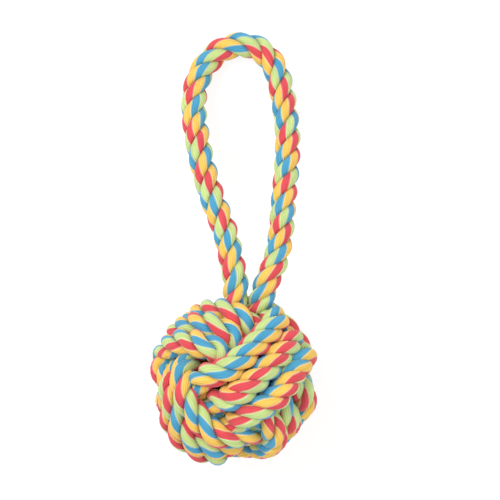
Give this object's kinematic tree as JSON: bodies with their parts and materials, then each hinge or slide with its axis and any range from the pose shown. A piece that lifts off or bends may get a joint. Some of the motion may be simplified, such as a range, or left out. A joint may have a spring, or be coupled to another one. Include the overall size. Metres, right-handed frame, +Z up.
{
  "type": "rope dog toy",
  "caption": "Rope dog toy: a ball knotted from thick twisted cotton rope in mixed bright colours, with a long handle loop of the same rope for throwing and tugging.",
  "frame": {"origin": "on the floor under the middle of the toy's bounding box, as it lies on its back", "axes": "+Y along the toy from the ball to the handle loop's crown, +Z up, +X across the loop"},
  "size_m": [0.0846, 0.207, 0.0833],
  "materials": {
    "cotton_rope": "matte twisted cotton, red, yellow, blue and lime yarns side by side",
    "core_rubber": "matte"
  },
  "bodies": {
    "ball": {"core_ball": "core_rubber", "ball_wraps": "cotton_rope", "left_neck": "cotton_rope", "right_neck": "cotton_rope"},
    "loop": {"handle_loop": "cotton_rope"}
  },
  "joints": [
    {"name": "neck_bend", "type": "hinge", "parent": "ball", "child": "loop", "pos_m": [0.01035, -0.0108, 0.05122], "axis": [0.9976, -0.067, 0.0179], "range_deg": [-60, 60], "deforming": ["left_neck", "right_neck"]}
  ]
}
